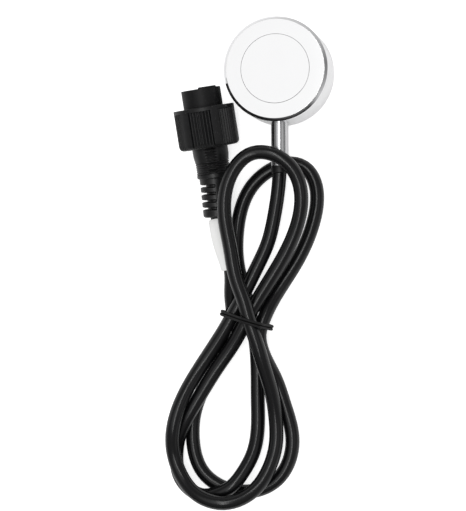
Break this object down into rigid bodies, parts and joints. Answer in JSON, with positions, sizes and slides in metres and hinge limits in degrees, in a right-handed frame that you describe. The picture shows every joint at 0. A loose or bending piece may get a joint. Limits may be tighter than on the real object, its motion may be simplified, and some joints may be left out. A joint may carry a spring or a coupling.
{
  "type": "ultrasonic fuel level sensor",
  "caption": "Puck-shaped steel ultrasonic level sensor with a side stem, a cable in a tied bundle, a white cable sleeve and a black round plug with a ribbed coupling nut.",
  "frame": {"origin": "centre of the head's flat rear face, which is the lowest face of the object", "axes": "+Z out through the sensing face; the stem leaves the head along -Y; +X to the right when the sensing face is looked at with the stem pointing down"},
  "size_m": [0.0812, 0.2336, 0.0314],
  "materials": {
    "polished_steel": "polished",
    "satin_steel": "satin",
    "piezo_ceramic": "matte",
    "epoxy": "matte",
    "seal_rubber": "matte",
    "board_laminate": "satin",
    "chip_black": "satin",
    "can_aluminium": "satin",
    "header_nylon": "satin",
    "core_insulation": "satin",
    "cable_sheath": "gloss",
    "sleeve_white": "matte",
    "tie_elastic": "matte woven",
    "plug_black": "matte grained",
    "contact_brass": "polished"
  },
  "bodies": {
    "sensor": {"head_housing": "polished_steel", "sensing_window": "satin_steel", "piezo_disc": "piezo_ceramic", "backing_block": "epoxy", "piezo_lead_1": "core_insulation", "piezo_lead_2": "core_insulation", "rear_cover": "satin_steel", "cover_seal": "seal_rubber", "circuit_board": "board_laminate", "driver_chip": "chip_black", "filter_capacitor": "can_aluminium", "core_header": "header_nylon", "stem_tube": "polished_steel", "stem_gland": "seal_rubber", "core_wire_1": "core_insulation", "core_wire_2": "core_insulation", "core_wire_3": "core_insulation", "core_wire_4": "core_insulation", "cable": "cable_sheath", "cable_sleeve": "sleeve_white", "elastic_tie": "tie_elastic", "plug_barrel": "plug_black", "contact_insert": "plug_black", "contact_1": "contact_brass", "contact_2": "contact_brass", "contact_3": "contact_brass", "contact_4": "contact_brass", "plug_core_1": "core_insulation", "plug_core_2": "core_insulation", "plug_core_3": "core_insulation", "plug_core_4": "core_insulation", "plug_seal_ring": "seal_rubber", "plug_boot": "plug_black"},
    "nut": {"coupling_nut": "plug_black"}
  },
  "joints": [
    {"name": "nut_spin", "type": "hinge", "parent": "sensor", "child": "nut", "pos_m": [-0.03487, -0.02627, 0.01562], "axis": [0.1275, -0.982, -0.1392], "continuous": true}
  ]
}
